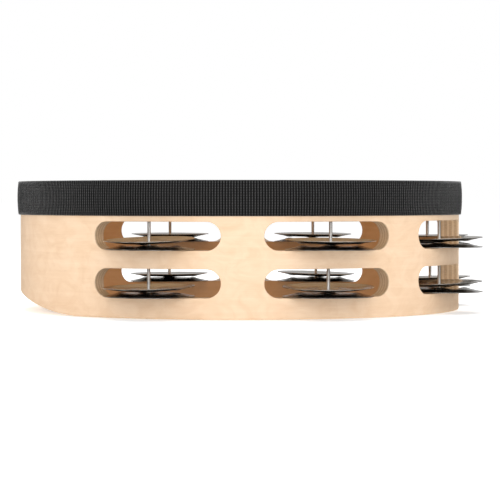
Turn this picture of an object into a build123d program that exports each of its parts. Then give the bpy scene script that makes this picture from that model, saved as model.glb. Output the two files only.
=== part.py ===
"""Ten-inch headed tambourine: a plywood shell with two rows of jingle slots, a skin under a webbing band,
steel pins and pairs of dished jingles. Millimetres, +Z up, origin on the shell's axis at its open lower rim.

Bearings are in degrees about +Z from the front (-Y) towards the right (+X); the hand grip faces -X.
"""

import os
from math import asin, cos, degrees, hypot, radians, sin

from build123d import *

# ---------------------------------------------------------------- shell
shell_radius = 127.0
shell_wall = 11.0
shell_height = 73.0
rim_round = 0.8
slot_edge_round = 0.4
bearing_edge_round = 1.2
cut_margin = 1.0
same_radius = 0.001

# ---------------------------------------------------------------- slots, two rows of six
slot_length = 72.6
slot_height = 15.2
slot_floors = {"lower": 11.3, "upper": 36.3}
slot_bearings = {
    "front_left": -21.2,
    "front_right": 22.5,
    "right_front": 66.9,
    "right_rear": 110.6,
    "rear_right": 157.2,
    "rear_left": 201.2,
}

# ---------------------------------------------------------------- hand grip, a relief in the lower rim
grip_start = 85.0
grip_end = 130.0
grip_arc_radius = 84.0

# -------------------------------------------------------- jingle pins, hand drilled within a degree or so
pin_bearings = {
    "front_left": {"lower": -23.5, "upper": -23.4},
    "front_right": {"lower": 22.75, "upper": 23.4},
    "right_front": {"lower": 66.9, "upper": 66.9},
    "right_rear": {"lower": 109.6, "upper": 111.4},
    "rear_right": {"lower": 156.6, "upper": 157.6},
    "rear_left": {"lower": 201.6, "upper": 201.4},
}
pin_radius = 0.9
pin_head_radius = 1.7
pin_head_thickness = 0.7
pin_anchor = 4.2
drill_clearance = 0.02

# ---------------------------------------------------------------- jingles
jingle_radius = 24.5
jingle_hole_radius = 1.75
jingle_height = 2.5
sheet = 0.5
hub_radius = 3.4
valley_inner = 6.5
valley_outer = 18.0
valley_height = 0.95
hub_bend = 1.2
valley_inner_bend = 1.5
valley_outer_bend = 6.0
rim_bend = 2.0
rim_flat = 2.0
dimple_ring = 14.5
dimple_count = 4
dimple_sphere = 9.0
dimple_contact = 15.0
rest_gap = 0.1
pair_gap = 0.15
# How the upper jingle of each pair leans on the lower one: degrees down to the front, degrees up to the right.
jingle_leans = {
    "front_left": {"lower": (1.5, 1.4), "upper": (2.4, 1.5)},
    "front_right": {"lower": (2.5, 0.0), "upper": (1.4, -0.7)},
    "right_front": {"lower": (0.8, 1.9), "upper": (0.4, 1.4)},
    "right_rear": {"lower": (-0.6, 1.2), "upper": (0.0, 0.9)},
    "rear_right": {"lower": (0.3, -1.7), "upper": (0.7, -0.4)},
    "rear_left": {"lower": (0.0, 0.3), "upper": (0.4, 0.0)},
}

# ---------------------------------------------------------------- skin, tacks and webbing band
skin = 0.4
skin_collar = 17.8
band_bottom = 54.5
band_top = 73.5
band_edge_proud = 1.15
band_middle_proud = 1.95
band_top_proud = 1.45
band_seam_bearing = 180.0
band_seam_gap = 0.3
tack_count = 24
tack_height = 63.0
tack_head_radius = 2.2
tack_head_thickness = 0.4
tack_shank_radius = 0.65
tack_shank_length = 4.2

pin_circle = shell_radius - shell_wall / 2


def outward(bearing):
    """Unit vector that points away from the axis at a bearing."""
    return Vector(sin(radians(bearing)), -cos(radians(bearing)), 0)


def along(bearing):
    """Unit vector that runs round the shell at a bearing."""
    return Vector(cos(radians(bearing)), sin(radians(bearing)), 0)


def wall_plane(bearing, height):
    """Upright plane through the axis that faces out at a bearing."""
    return Plane(origin=(0, 0, height), x_dir=along(bearing), z_dir=outward(bearing))


def upright(seat):
    """Plane through a seat's axis for the profile of something turned about that axis."""
    return Plane(origin=seat.origin, x_dir=seat.x_dir, z_dir=-seat.y_dir)


def tack_seats(radius):
    """Planes at the tacks' bearings and at a radius, facing out."""
    for index in range(tack_count):
        yield wall_plane((index + 0.5) * 360 / tack_count, tack_height).offset(radius)


def save(part, name):
    part.label = name
    export_step(part, f"parts/{name}.step")


os.makedirs("parts", exist_ok=True)

# ---------------------------------------------------------------- shell
with BuildPart() as shell:
    with BuildSketch():
        Circle(shell_radius)
        Circle(shell_radius - shell_wall, mode=Mode.SUBTRACT)
    extrude(amount=shell_height)
    # The skin turns down over the rounded outer top edge.
    top_edges = shell.edges().group_by(Axis.Z)[-1]
    fillet(top_edges.sort_by(SortBy.LENGTH)[-1], radius=bearing_edge_round)
    # Grip: the lower rim rises in an arc towards -X.
    grip_rise = grip_arc_radius - (grip_arc_radius**2 - (grip_end - grip_start) ** 2) ** 0.5
    with BuildSketch(Plane.XZ):
        with BuildLine():
            RadiusArc((-grip_start, 0), (-grip_end, grip_rise), grip_arc_radius)
            Polyline((-grip_end, grip_rise), (-grip_end, -cut_margin), (-grip_start, -cut_margin))
            Line((-grip_start, -cut_margin), (-grip_start, 0))
        make_face()
    extrude(amount=shell_radius, both=True, mode=Mode.SUBTRACT)
    low_edges = shell.edges().filter_by(lambda e: e.bounding_box().max.Z < grip_rise)
    fillet(low_edges.filter_by(lambda e: e.length > 2 * shell_wall), radius=rim_round)
    # Slots, cut straight through the wall with round ends.
    for slot_bearing in slot_bearings.values():
        for floor in slot_floors.values():
            with BuildSketch(wall_plane(slot_bearing, floor + slot_height / 2)):
                SlotOverall(slot_length, slot_height)
            extrude(amount=shell_radius + cut_margin, mode=Mode.SUBTRACT)

    def on_wall_face(edge):
        """True for a slot's outline where it meets the shell's outer or inner face."""
        box = edge.bounding_box()
        radii = [Vector(v.X, v.Y, 0).length for v in edge.vertices()]
        slots_height = box.min.Z > slot_floors["lower"] - cut_margin and box.max.Z < band_bottom
        return slots_height and max(radii) - min(radii) < same_radius

    fillet(shell.edges().filter_by(on_wall_face), radius=slot_edge_round)
    # Drillings for the pins: the upper row from the top edge, the lower row from the lower rim.
    for pin_rows in pin_bearings.values():
        top_seat = outward(pin_rows["upper"]) * pin_circle + Vector(0, 0, shell_height)
        low_seat = outward(pin_rows["lower"]) * pin_circle
        top_depth = shell_height - slot_floors["upper"] + pin_anchor
        low_depth = slot_floors["lower"] + slot_height + pin_anchor
        for seat, depth in (
            (Plane(origin=top_seat, z_dir=(0, 0, 1)), top_depth),
            (Plane(origin=low_seat, z_dir=(0, 0, -1)), low_depth),
        ):
            with Locations(seat.location):
                CounterBoreHole(
                    radius=pin_radius + drill_clearance,
                    counter_bore_radius=pin_head_radius + drill_clearance,
                    counter_bore_depth=pin_head_thickness,
                    depth=depth + drill_clearance,
                )
    # Drillings for the tacks that hold the skin's collar.
    with Locations(*[seat.location for seat in tack_seats(shell_radius)]):
        Hole(tack_shank_radius + drill_clearance, depth=tack_shank_length)
save(shell.part, "shell")

# ---------------------------------------------------------------- head: a skin stretched over the top edge
with BuildPart() as head_skin:
    with BuildSketch(Plane.XZ):
        with BuildLine():
            Polyline(
                (0, shell_height + skin),
                (0, shell_height),
                (shell_radius - bearing_edge_round, shell_height),
            )
            CenterArc(
                (shell_radius - bearing_edge_round, shell_height - bearing_edge_round),
                bearing_edge_round, 0, 90,
            )
            Polyline(
                (shell_radius, shell_height - bearing_edge_round),
                (shell_radius, shell_height - skin_collar),
                (shell_radius + skin, shell_height - skin_collar),
                (shell_radius + skin, shell_height - bearing_edge_round),
            )
            CenterArc(
                (shell_radius - bearing_edge_round, shell_height - bearing_edge_round),
                bearing_edge_round + skin, 0, 90,
            )
            Line((shell_radius - bearing_edge_round, shell_height + skin), (0, shell_height + skin))
        make_face()
    revolve(axis=Axis.Z)
    # The tacks go through the collar.
    with Locations(*[seat.location for seat in tack_seats(shell_radius + 2 * skin)]):
        Hole(tack_shank_radius + drill_clearance, depth=4 * skin)
save(head_skin.part, "head_skin")

# ---------------------------------------------------------------- webbing band round the top of the shell
band_sweep = 360 - degrees(band_seam_gap / shell_radius)
band_middle = (band_bottom + band_top) / 2
seam_plane = Plane(
    origin=(0, 0, 0),
    x_dir=outward(band_seam_bearing),
    z_dir=-along(band_seam_bearing),
)
with BuildPart() as webbing_band:
    with BuildSketch(seam_plane):
        with BuildLine():
            Line((shell_radius, band_bottom), (shell_radius + band_edge_proud, band_bottom))
            ThreePointArc(
                (shell_radius + band_edge_proud, band_bottom),
                (shell_radius + band_middle_proud, band_middle),
                (shell_radius + band_top_proud, band_top),
            )
            Polyline(
                (shell_radius + band_top_proud, band_top),
                (shell_radius + skin, band_top),
                (shell_radius + skin, shell_height - skin_collar),
                (shell_radius, shell_height - skin_collar),
                (shell_radius, band_bottom),
            )
        make_face()
    revolve(axis=Axis.Z, revolution_arc=band_sweep)
    # The webbing is pressed in over the tacks' heads.
    for seat in tack_seats(shell_radius):
        with BuildSketch(seat):
            Circle(tack_head_radius + drill_clearance)
        extrude(amount=skin + tack_head_thickness + drill_clearance, mode=Mode.SUBTRACT)
save(webbing_band.part, "webbing_band")

# -------------------------------------------------------- tacks through the skin's collar, under the band
with BuildPart() as head_tacks:
    for seat in tack_seats(shell_radius + skin):
        with BuildSketch(seat):
            Circle(tack_head_radius)
        extrude(amount=tack_head_thickness)
        with BuildSketch(seat):
            Circle(tack_shank_radius)
        extrude(amount=-tack_shank_length)
save(head_tacks.part, "head_tacks")


# ---------------------------------------------------------------- jingle pins
def build_pin(bearing, row):
    """A round wire nail, with its head flush with the shell's edge and its point in the wood between the rows."""
    spot = outward(bearing) * pin_circle
    if row == "upper":
        seat = Plane(origin=spot + Vector(0, 0, shell_height), z_dir=(0, 0, -1))
        length = shell_height - slot_floors["upper"] + pin_anchor
    else:
        seat = Plane(origin=spot, z_dir=(0, 0, 1))
        length = slot_floors["lower"] + slot_height + pin_anchor
    with BuildPart() as pin:
        with BuildSketch(seat):
            Circle(pin_head_radius)
        extrude(amount=pin_head_thickness)
        with BuildSketch(seat.offset(pin_head_thickness)):
            Circle(pin_radius)
        extrude(amount=length - pin_head_thickness)
        point = pin.faces().sort_by(Axis(seat.origin, seat.z_dir))[-1]
        chamfer(point.edges(), length=pin_radius / 2)
    return pin.part


for place, rows in pin_bearings.items():
    for row, bearing in rows.items():
        save(build_pin(bearing, row), f"pin_{place}_{row}")


# ---------------------------------------------------------------- jingles
def build_jingle(seat):
    """A dished, dimpled disc of sheet steel. The seat's plane touches the dimples, and the rim is above it."""
    turned = upright(seat)
    middle = sheet / 2
    cap_latitude = -degrees(asin((dimple_sphere - valley_height - middle) / dimple_sphere))
    with BuildPart(seat) as jingle:
        with BuildSketch(turned):
            with BuildLine():
                FilletPolyline(
                    (jingle_hole_radius, middle),
                    (hub_radius, middle),
                    (valley_inner, valley_height + middle),
                    (valley_outer, valley_height + middle),
                    (jingle_radius - rim_flat, jingle_height - middle),
                    (jingle_radius, jingle_height - middle),
                    radius=(hub_bend, valley_inner_bend, valley_outer_bend, rim_bend),
                )
            trace(line_width=sheet)
        revolve(axis=Axis(seat.origin, seat.z_dir))
        with PolarLocations(dimple_ring, dimple_count), Locations((0, 0, dimple_sphere)):
            Sphere(dimple_sphere, arc_size1=-90, arc_size2=cap_latitude, align=None)
            Sphere(dimple_sphere - sheet, mode=Mode.SUBTRACT)
    return jingle.part


for place, rows in pin_bearings.items():
    for row, bearing in rows.items():
        contact = slot_floors[row] + rest_gap + jingle_height
        spot = outward(bearing) * pin_circle
        bottom_seat = Plane(
            origin=spot + Vector(0, 0, contact), x_dir=along(bearing), z_dir=(0, 0, -1)
        )
        front_down, right_up = (sin(radians(lean)) for lean in jingle_leans[place][row])
        # A leaning jingle rides up on its partner's dimples, which it touches just outside their middles.
        ride_up = dimple_contact * hypot(front_down, right_up)
        top_seat = Plane(
            origin=spot + Vector(0, 0, contact + pair_gap + ride_up),
            x_dir=along(bearing),
            z_dir=(-right_up, -front_down, 1),
        )
        save(build_jingle(bottom_seat), f"jingle_{place}_{row}_bottom")
        save(build_jingle(top_seat), f"jingle_{place}_{row}_top")
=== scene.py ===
"""A headed tambourine with two rows of jingles, on a pale floor in soft studio light.

Metres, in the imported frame: +Z up, the shell's axis on Z, the hand grip towards -X. A bearing is an angle
about +Z from the front (-Y) towards the right (+X).
"""

import random
from math import cos, hypot, pi, radians, sin

import bmesh
import bpy
import numpy as np
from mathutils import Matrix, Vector


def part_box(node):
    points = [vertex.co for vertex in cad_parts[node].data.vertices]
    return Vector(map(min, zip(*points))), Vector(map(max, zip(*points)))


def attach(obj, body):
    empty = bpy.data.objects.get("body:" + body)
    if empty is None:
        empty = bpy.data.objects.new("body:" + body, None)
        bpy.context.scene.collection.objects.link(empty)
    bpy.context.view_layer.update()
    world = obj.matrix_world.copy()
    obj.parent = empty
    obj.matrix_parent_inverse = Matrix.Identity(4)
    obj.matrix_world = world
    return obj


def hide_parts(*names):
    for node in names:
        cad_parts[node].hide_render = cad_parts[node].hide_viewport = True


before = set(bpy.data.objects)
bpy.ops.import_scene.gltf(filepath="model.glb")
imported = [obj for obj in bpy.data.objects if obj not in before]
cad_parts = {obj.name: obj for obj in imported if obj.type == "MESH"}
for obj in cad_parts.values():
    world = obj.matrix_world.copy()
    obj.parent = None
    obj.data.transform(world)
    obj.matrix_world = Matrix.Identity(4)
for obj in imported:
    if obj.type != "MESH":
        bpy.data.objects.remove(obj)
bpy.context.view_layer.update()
MM = 0.001

# The shell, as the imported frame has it.
shell_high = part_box("shell")[1]
shell_radius = shell_high.y
shell_top = shell_high.z
shell_wall = 11 * MM
ply_count = 8


# ---------------------------------------------------------------- node helpers
class Nodes:
    """A short way to build the node tree of a material or a world."""

    def __init__(self, owner, shader="Principled BSDF"):
        owner.use_nodes = True
        self.owner = owner
        self.tree = owner.node_tree
        self.shader = self.tree.nodes[shader]

    def add(self, kind, inputs=None, **settings):
        """A new node of a kind, with its settings and its inputs: values or other nodes' outputs."""
        node = self.tree.nodes.new(kind)
        for key, value in settings.items():
            setattr(node, key, value)
        for key, value in (inputs or {}).items():
            self.feed(node.inputs[key], value)
        return node

    def feed(self, socket, value):
        if isinstance(value, bpy.types.NodeSocket):
            self.tree.links.new(value, socket)
        else:
            socket.default_value = value

    def math(self, operation, *values):
        return self.add("ShaderNodeMath", dict(enumerate(values)), operation=operation).outputs[0]

    def mix(self, factor, a, b, blend="MIX"):
        node = self.add("ShaderNodeMix", data_type="RGBA", blend_type=blend)
        for index, value in ((0, factor), (6, a), (7, b)):
            self.feed(node.inputs[index], value)
        return node.outputs[2]

    def place(self, scale=(1, 1, 1)):
        """The place on the object in metres, times a scale along each axis."""
        coordinates = self.add("ShaderNodeTexCoord").outputs["Object"]
        mapping = self.add("ShaderNodeMapping", {"Vector": coordinates, "Scale": scale})
        return mapping.outputs[0]

    def noise(self, vector, scale=1.0, detail=3.0, roughness=0.5, distortion=0.0):
        inputs = {
            "Vector": vector,
            "Scale": scale,
            "Detail": detail,
            "Roughness": roughness,
            "Distortion": distortion,
        }
        return self.add("ShaderNodeTexNoise", inputs).outputs["Fac"]

    def ramp(self, factor, stops):
        """A colour for each value of a factor, between stops of a position and a colour."""
        node = self.add("ShaderNodeValToRGB", {"Fac": factor})
        elements = node.color_ramp.elements
        while len(elements) < len(stops):
            elements.new(1.0)
        for element, (position, color) in zip(elements, stops):
            element.position = position
            element.color = (*color, 1.0)
        return node.outputs["Color"]

    def remap(self, value, low, high, to_low=0.0, to_high=1.0):
        inputs = {0: value, 1: low, 2: high, 3: to_low, 4: to_high}
        return self.add("ShaderNodeMapRange", inputs).outputs[0]

    def bump(self, height, distance, strength):
        inputs = {"Height": height, "Distance": distance, "Strength": strength}
        return self.add("ShaderNodeBump", inputs).outputs[0]

    def blend_in(self, other, share):
        """Gives a share of the surface to another shader than the main one."""
        both = self.add("ShaderNodeMixShader", {0: share, 1: self.shader.outputs[0], 2: other.outputs[0]})
        self.tree.links.new(both.outputs[0], self.tree.nodes["Material Output"].inputs["Surface"])

    def finish(self, **sockets):
        """Sets the shader's sockets, given by name with _ for a space, and returns the material or world."""
        for key, value in sockets.items():
            self.feed(self.shader.inputs[key.replace("_", " ")], value)
        return self.owner


# ---------------------------------------------------------------- materials
def birch_plywood():
    """Lacquered birch plywood bent round: veneer on its faces, and the plies' edges where it is cut."""
    n = Nodes(bpy.data.materials.new("birch_plywood"))
    place = n.add("ShaderNodeTexCoord").outputs["Object"]
    axes = n.add("ShaderNodeSeparateXYZ", {"Vector": place}).outputs
    level = n.add("ShaderNodeCombineXYZ", {"X": axes["X"], "Y": axes["Y"]}).outputs[0]
    radius = n.add("ShaderNodeVectorMath", {0: level}, operation="LENGTH").outputs["Value"]

    # Veneer: long faint streaks round the shell, short dark pores and slow clouds of figure.
    streaks = n.noise(n.place((12, 12, 330)), detail=5, roughness=0.62, distortion=0.5)
    pores = n.noise(n.place((150, 150, 2600)), detail=2, roughness=0.5)
    figure = n.noise(n.place((55, 55, 80)), detail=5, roughness=0.6, distortion=1.8)
    veneer = n.ramp(streaks, [(0.28, (0.820, 0.585, 0.385)), (0.72, (0.885, 0.660, 0.462))])
    clouds = n.ramp(figure, [(0.34, (0.915, 0.860, 0.795)), (0.62, (1.0, 1.0, 1.0))])
    veneer = n.mix(0.8, veneer, clouds, "MULTIPLY")
    pore_mask = n.remap(pores, 0.60, 0.72)
    veneer = n.mix(n.math("MULTIPLY", pore_mask, 0.12), veneer, (0.60, 0.38, 0.20, 1))

    # Plies: one step for each layer in from the outer face, light along the grain and dark across it.
    depth = n.math("DIVIDE", n.math("SUBTRACT", shell_radius, radius), shell_wall)
    wobble = n.noise(n.place((60, 60, 90)), detail=2)
    depth = n.math("ADD", depth, n.remap(wobble, 0, 1, -0.008, 0.008))
    layer = n.math("MULTIPLY", depth, ply_count)
    parity = n.math("MODULO", n.math("FLOOR", layer), 2.0)
    fibre = n.noise(n.place((700, 700, 1500)), detail=3, roughness=0.65)
    along_grain = n.ramp(fibre, [(0.3, (0.80, 0.60, 0.40)), (0.7, (0.92, 0.73, 0.52))])
    end_grain = n.ramp(fibre, [(0.3, (0.62, 0.42, 0.24)), (0.7, (0.78, 0.57, 0.36))])
    plies = n.mix(parity, along_grain, end_grain)
    from_centre = n.math("ABSOLUTE", n.math("SUBTRACT", n.math("FRACT", layer), 0.5))
    glue = n.math("SUBTRACT", 0.5, from_centre)
    glue_line = n.remap(glue, 0.0, 0.09, 1.0, 0.0)
    plies = n.mix(n.math("MULTIPLY", glue_line, 0.45), plies, (0.40, 0.25, 0.13, 1))

    # The two faces are the outer skins of the plywood; anything between them is a cut.
    from_middle = n.math("ABSOLUTE", n.math("SUBTRACT", depth, 0.5))
    is_face = n.remap(from_middle, 0.478, 0.486)
    is_inside = n.math("GREATER_THAN", depth, 0.5)
    # The inner face is the veneer made darker and warmer: painted shade for the dim inside of the shell.
    painted_inner_shade = n.mix(1.0, veneer, (0.77, 0.60, 0.42, 1), "MULTIPLY")
    color = n.mix(is_face, plies, n.mix(is_inside, veneer, painted_inner_shade))

    relief = n.math("ADD", n.math("MULTIPLY", streaks, 0.6), n.math("MULTIPLY", fibre, 0.4))
    ply_step = n.math("MULTIPLY", n.math("MULTIPLY", glue_line, n.math("SUBTRACT", 1.0, is_face)), -1.5)
    normal = n.bump(n.math("ADD", relief, ply_step), 0.05 * MM, 0.35)
    roughness = n.remap(streaks, 0.3, 0.7, 0.36, 0.46)
    return n.finish(
        Base_Color=color, Roughness=roughness, Normal=normal, Coat_Weight=0.18, Coat_Roughness=0.3, IOR=1.5
    )


def nickel_plate():
    """Nickel plate on stamped steel: turning marks round the disc, faint smears and fine scratches."""
    n = Nodes(bpy.data.materials.new("nickel_plate"))
    rings = n.add("ShaderNodeUVMap").outputs["UV"]
    stretched = n.add("ShaderNodeMapping", {"Vector": rings, "Scale": (6, 900, 1)}).outputs[0]
    turning = n.noise(stretched, detail=4)
    smear = n.noise(n.place((70, 70, 70)), detail=4, roughness=0.6, distortion=0.8)
    scratch = n.noise(n.place((900, 60, 900)), detail=2)
    color = n.ramp(smear, [(0.30, (0.36, 0.335, 0.30)), (0.72, (0.58, 0.55, 0.51))])
    roughness = n.math("ADD", n.remap(smear, 0.3, 0.75, 0.10, 0.24), n.remap(turning, 0.35, 0.65, 0, 0.07))
    relief = n.math("ADD", turning, n.math("MULTIPLY", n.remap(scratch, 0.62, 0.70), 0.5))
    normal = n.bump(relief, 0.015 * MM, 0.6)
    return n.finish(Base_Color=color, Metallic=1.0, Roughness=roughness, Normal=normal)


def bright_steel():
    """Drawn steel wire, with marks along its length and a little dulling."""
    n = Nodes(bpy.data.materials.new("bright_steel"))
    drawn = n.noise(n.place((2500, 2500, 60)), detail=3)
    dull = n.noise(n.place((160, 160, 120)), detail=3)
    color = n.ramp(dull, [(0.35, (0.62, 0.60, 0.57)), (0.70, (0.84, 0.82, 0.79))])
    roughness = n.remap(drawn, 0.3, 0.7, 0.26, 0.42)
    return n.finish(
        Base_Color=color, Metallic=1.0, Roughness=roughness, Normal=n.bump(drawn, 0.02 * MM, 0.5)
    )


def black_webbing():
    """Black nylon webbing. U counts the ribs and V counts the weft threads that cross them."""
    n = Nodes(bpy.data.materials.new("black_webbing"))
    u, v, _ = n.add("ShaderNodeSeparateXYZ", {"Vector": n.add("ShaderNodeUVMap").outputs["UV"]}).outputs
    shifted = n.math("ADD", n.math("MULTIPLY", v, 2 * pi), n.math("MULTIPLY", n.math("FLOOR", u), pi))
    thread = n.math("ABSOLUTE", n.math("SINE", shifted))
    across = n.math("ABSOLUTE", n.math("SINE", n.math("MULTIPLY", u, pi)))
    weave = n.math("MULTIPLY", thread, n.math("POWER", across, 2.0))
    fuzz = n.noise(n.place((1, 1, 1)), scale=3500, detail=3, roughness=0.7)
    fade = n.noise(n.place((1, 1, 1)), scale=55, detail=3)
    # The colour follows the weave: a painted highlight on the crests of the ribs and weft threads, and
    # painted shade near black in the grooves, plus a fine real fuzz of fibres.
    painted_crest_highlight = n.math("ADD", n.math("MULTIPLY", weave, 0.75), n.math("MULTIPLY", fuzz, 0.35))
    color = n.ramp(
        painted_crest_highlight, [(0.12, (0.0008, 0.0008, 0.0009)), (0.45, (0.005, 0.005, 0.005)), (1.0, (0.105, 0.105, 0.106))]
    )
    color = n.mix(n.remap(fade, 0.3, 0.7, 0.0, 0.10), color, (0.030, 0.029, 0.029, 1))
    height = n.math("ADD", weave, n.math("MULTIPLY", fuzz, 0.35))
    return n.finish(
        Base_Color=color,
        Roughness=n.remap(fuzz, 0.3, 0.7, 0.45, 0.65),
        Normal=n.bump(height, 0.12 * MM, 0.9),
        Specular_IOR_Level=0.14,
        Sheen_Weight=0.50,
        Sheen_Roughness=0.3,
        IOR=1.45,
    )


def natural_skin():
    """A natural drum skin: cream, a little cloudy, with pale veins and fine pores."""
    n = Nodes(bpy.data.materials.new("natural_skin"))
    cloud = n.noise(n.place((22, 30, 22)), detail=4, roughness=0.55, distortion=0.8)
    veins = n.noise(n.place((45, 30, 45)), detail=2, roughness=0.4, distortion=2.2)
    pores = n.noise(n.place((1, 1, 1)), scale=1500, detail=2)
    color = n.ramp(cloud, [(0.25, (0.80, 0.69, 0.52)), (0.55, (0.86, 0.78, 0.63)), (0.8, (0.89, 0.83, 0.71))])
    vein_line = n.remap(n.math("ABSOLUTE", n.math("SUBTRACT", veins, 0.5)), 0.0, 0.02, 1.0, 0.0)
    color = n.mix(n.math("MULTIPLY", vein_line, 0.16), color, (0.86, 0.81, 0.71, 1))
    color = n.mix(n.math("MULTIPLY", n.remap(pores, 0.62, 0.75), 0.25), color, (0.50, 0.38, 0.24, 1))
    height = n.math("ADD", n.math("MULTIPLY", cloud, 0.8), n.math("MULTIPLY", pores, 0.2))
    # Part of the light passes through, as it does through a thin hide.
    warm = n.mix(1.0, color, (1.0, 0.86, 0.66, 1), "MULTIPLY")
    glow = n.add("ShaderNodeBsdfTranslucent", {"Color": warm})
    n.blend_in(glow, 0.36)
    return n.finish(
        Base_Color=color,
        Roughness=n.remap(cloud, 0.3, 0.7, 0.42, 0.58),
        Normal=n.bump(height, 0.12 * MM, 0.5),
    )


def studio_floor():
    """A pale, matt floor that glows a little, so that it stays white. Polished metal reflects it as dark."""
    n = Nodes(bpy.data.materials.new("studio_floor"))
    grain = n.noise(n.place((1, 1, 1)), scale=120, detail=3)
    color = n.ramp(grain, [(0.3, (0.90, 0.90, 0.90)), (0.7, (0.92, 0.92, 0.92))])
    dark = n.add("ShaderNodeBsdfDiffuse", {"Color": (0.05, 0.042, 0.034, 1)})
    n.blend_in(dark, n.add("ShaderNodeLightPath").outputs["Is Glossy Ray"])
    return n.finish(
        Base_Color=color, Roughness=0.9, Emission_Color=(1.0, 1.0, 1.0, 1.0), Emission_Strength=0.45
    )


plywood = birch_plywood()
nickel = nickel_plate()
steel = bright_steel()
webbing = black_webbing()
skin = natural_skin()


# ---------------------------------------------------------------- mesh helpers
def grid_object(name, rows, material, uvs=None, close_rows=True, close_columns=True, weld=False):
    """A piece made of a grid of points: rows of equal length, joined to the next row and round each row.

    uvs(i, j) gives the UV of row i's point j, and weld joins the points of a row that lie in one place.
    """
    count, width = len(rows), len(rows[0])
    points = [point for row in rows for point in row]
    faces = []
    for i in range(count if close_rows else count - 1):
        for j in range(width if close_columns else width - 1):
            a, b = i, (i + 1) % count
            c, d = j, (j + 1) % width
            faces.append((a * width + c, a * width + d, b * width + d, b * width + c))
    mesh = bpy.data.meshes.new(name)
    mesh.from_pydata(points, [], faces)
    mesh.polygons.foreach_set("use_smooth", [True] * len(faces))
    if uvs:
        layer = mesh.uv_layers.new(name="UVMap")
        for index, face in enumerate(mesh.polygons):
            i, j = divmod(index, width if close_columns else width - 1)
            corners = ((i, j), (i, j + 1), (i + 1, j + 1), (i + 1, j))
            for loop, corner in zip(face.loop_indices, corners):
                layer.data[loop].uv = uvs(*corner)
    mesh.materials.append(material)
    if weld:
        work = bmesh.new()
        work.from_mesh(mesh)
        bmesh.ops.remove_doubles(work, verts=work.verts, dist=0.001 * MM)
        work.to_mesh(mesh)
        work.free()
    mesh.validate()
    piece = bpy.data.objects.new(name, mesh)
    bpy.context.scene.collection.objects.link(piece)
    return piece


# ---------------------------------------------------------------- shell, pins and tacks keep their CAD shape
for node_name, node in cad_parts.items():
    finish = plywood if node_name == "shell" else steel
    for material_slot in node.material_slots:
        material_slot.material = finish

# ---------------------------------------------------------------- jingles
sheet = 0.45 * MM
jingle_segments = 96
bump_ring = 14.8 * MM
bump_spread = 4.1 * MM
bump_count = 4
bump_clearance = 0.02 * MM
rim_share = 0.985
# The disc's middle surface: radius, and how far it stands from its partner's plane there, in millimetres.
dish = [
    (1.75, 0.23), (2.6, 0.23), (3.3, 0.27), (4.1, 0.46), (5.2, 0.78), (6.2, 1.00), (7.2, 1.08),
    (8.4, 1.04), (9.8, 0.94), (11.0, 0.85), (12.2, 0.79), (13.4, 0.75), (14.6, 0.75), (15.8, 0.80),
    (17.0, 0.92), (18.2, 1.09), (19.6, 1.34), (21.0, 1.64), (22.2, 1.91), (23.0, 2.09), (23.7, 2.22),
    (24.15, 2.25),
]


def jingle_height(radius, angle, height, turn):
    """The middle surface's height at a place on the disc, where its four punched bumps reach the partner."""
    for index in range(bump_count):
        bump_angle = turn + index * 2 * pi / bump_count
        gap = hypot(
            radius * cos(angle) - bump_ring * cos(bump_angle),
            radius * sin(angle) - bump_ring * sin(bump_angle),
        )
        if gap < bump_spread:
            push = 0.5 + 0.5 * cos(pi * gap / bump_spread)
            height -= (height - sheet / 2 - bump_clearance) * push**0.8
    return height


def disc_frame(name):
    """Where a jingle lies: the middle of its contact side, two directions across it, its axis, its radius."""
    points = np.array([vertex.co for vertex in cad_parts[name].data.vertices])
    centre = (points.max(0) + points.min(0)) / 2
    reach = np.linalg.norm(points - centre, axis=1)
    rim = points[reach > rim_share * reach.max()]
    axis = np.linalg.svd(rim - rim.mean(0))[2][2]
    if (axis[2] > 0) != name.endswith("_top"):
        axis = -axis
    contact = centre + axis * ((points - centre) @ axis).min()
    right = np.array((1.0, 0.0, 0.0)) - axis[0] * axis
    right /= np.linalg.norm(right)
    across = points - centre
    radius = np.linalg.norm(across - np.outer(across @ axis, axis), axis=1).max()
    return contact, right, np.cross(axis, right), axis, radius


def make_jingle(name, rng):
    """A pressed disc of sheet metal with a rounded edge, a little warped, where a jingle lies."""
    contact, right, forward, axis, radius = disc_frame(name)
    turn = pair_turn[name.rsplit("_", 1)[0]] * (1 if name.endswith("_top") else -1)
    warp = rng.uniform(0.02, 0.10) * MM
    warp_turn = rng.uniform(0, 2 * pi)
    # The section goes out along one side, round the lip and back along the other: radius, height and side.
    front = [(r * MM, h * MM, 1) for r, h in dish]
    edge_height = front[-1][1]
    edge_middle = radius - sheet / 2
    lip = [(edge_middle + sheet / 2 * cos(a), edge_height, sin(a)) for a in (1.0, 0.35, -0.35, -1.0)]
    back = [(r, h, -1) for r, h, _ in reversed(front)]
    section = front + lip + back
    rows = []
    for r, h, side in section:
        row = []
        for index in range(jingle_segments):
            angle = 2 * pi * index / jingle_segments
            z = jingle_height(r, angle, h, turn) + side * sheet / 2
            z += warp * (r / radius) ** 2 * (cos(2 * (angle - warp_turn)) - 1)
            flat = right * (r * cos(angle)) + forward * (r * sin(angle))
            row.append(contact + flat + axis * max(z, 0.0))
        rows.append(row)
    piece = grid_object(
        f"{name}_disc", rows, nickel,
        uvs=lambda i, j: (j / jingle_segments, section[i % len(section)][0] / radius),
    )
    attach(piece, name)
    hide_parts(name)


jingle_names = sorted(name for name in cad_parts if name.startswith("jingle_"))
random.seed(7)
# Both discs of a pair have settled with their bumps together, turned a little one way or the other.
pair_turn = {name.rsplit("_", 1)[0]: radians(random.uniform(-12, 12)) for name in jingle_names}
for jingle_name in jingle_names:
    make_jingle(jingle_name, random.Random(jingle_name))

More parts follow.
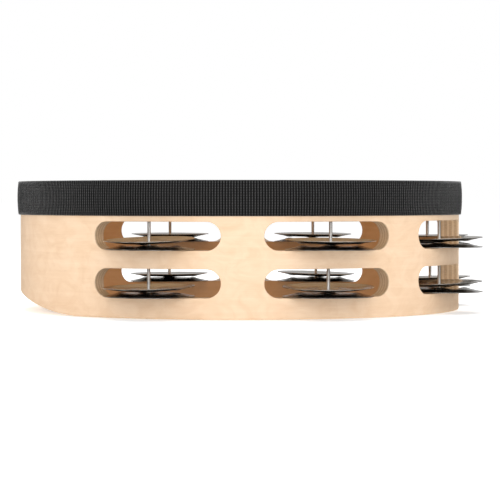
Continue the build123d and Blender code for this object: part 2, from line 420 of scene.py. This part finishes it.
# ---------------------------------------------------------------- webbing band
rib_count = 540
samples_per_rib = 4
rib_depth = 0.34 * MM
weft_pitch = 1.7 * MM
band_low, band_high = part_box("webbing_band")
band_inner = shell_radius + 0.41 * MM
band_outer = band_high.y - 0.10 * MM
band_steps = 16
face_share = 0.985
lip_relief = 0.3
edge_bow = 0.62 * MM
edge_inset = 0.90 * MM
corner = 0.1 * MM
seam_bearing = pi
seam_share = 0.9996


def band_section():
    """The band's outline in section, up the outside and down the inside.

    Each point has a radius, a height and its share of the ribs' relief.
    """
    bottom, top = band_low.z, band_high.z
    middle, half = (bottom + top) / 2, (top - bottom) / 2
    outside = []
    for index in range(band_steps + 1):
        share = -1 + 2 * index / band_steps
        bow = edge_bow * abs(share) ** 2.4
        relief = 1 - abs(share) ** 14
        outside.append((band_outer - bow, middle + half * share * face_share, relief))
    lip_top = [(band_outer - edge_inset, top, lip_relief)]
    lip_low = [(band_outer - edge_inset, bottom, lip_relief)]
    inside = [(band_inner, top - corner, 0), (band_inner, middle, 0), (band_inner, bottom + corner, 0)]
    return outside + lip_top + inside + lip_low


def make_band():
    """Webbing drawn round the shell: upright ribs of uneven tension, and a seam at the rear."""
    section = band_section()
    columns = rib_count * samples_per_rib
    rng = random.Random(11)
    tension = [rng.uniform(0.8, 1.0) * (1.0 if rib % 2 else 0.86) for rib in range(rib_count)]
    rows = []
    for radius, height, relief in section:
        row = []
        for column in range(columns + 1):
            rib = min(column // samples_per_rib, rib_count - 1)
            wave = abs(sin(pi * column / samples_per_rib))
            out = radius + rib_depth * relief * (wave**0.7 * tension[rib] - 1)
            angle = seam_bearing + 2 * pi * column / columns * seam_share
            row.append((out * sin(angle), -out * cos(angle), height))
        rows.append(row)
    lengths = [0.0]
    for (r0, z0, _), (r1, z1, _) in zip(section, section[1:] + section[:1]):
        lengths.append(lengths[-1] + hypot(r1 - r0, z1 - z0))
    piece = grid_object(
        "webbing_band_weave", rows, webbing, close_columns=False,
        uvs=lambda i, j: (j / samples_per_rib, lengths[i] / weft_pitch),
    )
    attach(piece, "drum")
    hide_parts("webbing_band")


make_band()

# ---------------------------------------------------------------- skin
skin_low, skin_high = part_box("head_skin")
skin_thickness = skin_high.z - shell_top
skin_segments = 180
skin_bend = 1.2 * MM
bend_steps = 6


def skin_line():
    """The skin's middle line in section: from the axis over the shell's rounded edge and down its side."""
    flat = shell_radius - skin_bend
    side_top = shell_top - skin_bend
    reach = skin_bend + skin_thickness / 2
    shares = (0.0, 0.1, 0.3, 0.5, 0.7, 0.85, 0.94, 0.98, 1.0)
    line = [(share * flat, shell_top + skin_thickness / 2) for share in shares]
    for step in range(1, bend_steps + 1):
        angle = pi / 2 * step / bend_steps
        line.append((flat + reach * sin(angle), side_top + reach * cos(angle)))
    for share in (0.3, 0.7, 1.0):
        line.append((shell_radius + skin_thickness / 2, side_top - share * (side_top - skin_low.z)))
    return line


def make_skin():
    """A skin drawn tight over the rounded top edge and down the shell's side."""
    line = skin_line()
    half = skin_thickness * 0.45
    upper, lower = [], []
    for index, (radius, height) in enumerate(line):
        before, after = line[max(index - 1, 0)], line[min(index + 1, len(line) - 1)]
        run, rise = after[0] - before[0], after[1] - before[1]
        size = hypot(run, rise)
        across = (-rise / size, run / size)
        upper.append((radius + half * across[0], height + half * across[1]))
        lower.append((radius - half * across[0], height - half * across[1]))
    outline = lower + upper[::-1]
    rows = []
    for radius, height in outline:
        row = []
        for index in range(skin_segments):
            angle = 2 * pi * index / skin_segments
            row.append((radius * cos(angle), radius * sin(angle), height))
        rows.append(row)
    piece = grid_object("head_skin_sheet", rows, skin, close_rows=False, weld=True)
    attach(piece, "drum")
    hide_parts("head_skin")


make_skin()

# ---------------------------------------------------------------- stage
floor_rings = (0.0, 1.0, 4.0, 30.0)
floor_segments = 48
floor_drop = 0.3 * MM


def make_stage():
    """A pale floor, wide enough to run out of sight, with rings that grow outwards."""
    rows = []
    for reach in floor_rings:
        row = []
        for index in range(floor_segments):
            angle = 2 * pi * index / floor_segments
            row.append((reach * cos(angle), reach * sin(angle), -floor_drop))
        rows.append(row)
    floor = grid_object("studio_floor", rows, studio_floor(), close_rows=False, weld=True)


make_stage()

# ---------------------------------------------------------------- camera
camera_data = bpy.data.cameras.new("camera")
camera_data.lens = 155.95
camera_data.sensor_width = 36.0
camera = bpy.data.objects.new("camera", camera_data)
camera.location = (0.0, -1.262, 0.064)
camera.rotation_euler = (radians(90 - 1.375), 0.0, radians(-0.268))
bpy.context.scene.collection.objects.link(camera)
bpy.context.scene.camera = camera

# ---------------------------------------------------------------- light
sky_strength = 0.62
front_strength = 0.03


def studio_world():
    """White all round. Polished metal reflects it as dark low down in front, as in a studio."""
    n = Nodes(bpy.data.worlds.new("studio"), "Background")
    toward = n.add("ShaderNodeSeparateXYZ", {0: n.add("ShaderNodeTexCoord").outputs["Generated"]}).outputs
    in_front = n.remap(toward["Y"], 0.10, -0.25)
    low_down = n.remap(n.math("ABSOLUTE", toward["Z"]), 0.70, 0.35)
    paths = n.add("ShaderNodeLightPath").outputs
    dark = n.math("MULTIPLY", n.math("MULTIPLY", in_front, low_down), paths["Is Glossy Ray"])
    strength = n.remap(dark, 0.0, 1.0, sky_strength, front_strength)
    shown = n.remap(paths["Is Camera Ray"], 0.0, 1.0, strength, 1.0)
    bpy.context.scene.world = n.finish(Color=(1.0, 1.0, 1.0, 1.0), Strength=shown)


def soft_light(name, place, aim_height, size, watts):
    """A large lamp that faces a point on the drum's axis."""
    data = bpy.data.lights.new(name, "AREA")
    data.shape = "RECTANGLE"
    data.size, data.size_y = size
    data.energy = watts
    lamp = bpy.data.objects.new(name, data)
    lamp.location = place
    to_drum = Vector((0, 0, aim_height)) - Vector(place)
    lamp.rotation_euler = to_drum.to_track_quat("-Z", "Y").to_euler()
    bpy.context.scene.collection.objects.link(lamp)


studio_world()
bpy.context.scene.view_settings.view_transform = "Standard"
soft_light("key_left", (-1.9, -1.1, 0.55), 0.04, (0.8, 0.8), 5)
soft_light("fill_right", (1.6, -1.5, 0.5), 0.04, (0.8, 0.8), 5)
soft_light("front", (0.1, -2.2, 0.5), 0.04, (2.0, 1.0), 13)
soft_light("top", (0.0, 0.3, 1.5), 0.07, (1.2, 1.2), 14)
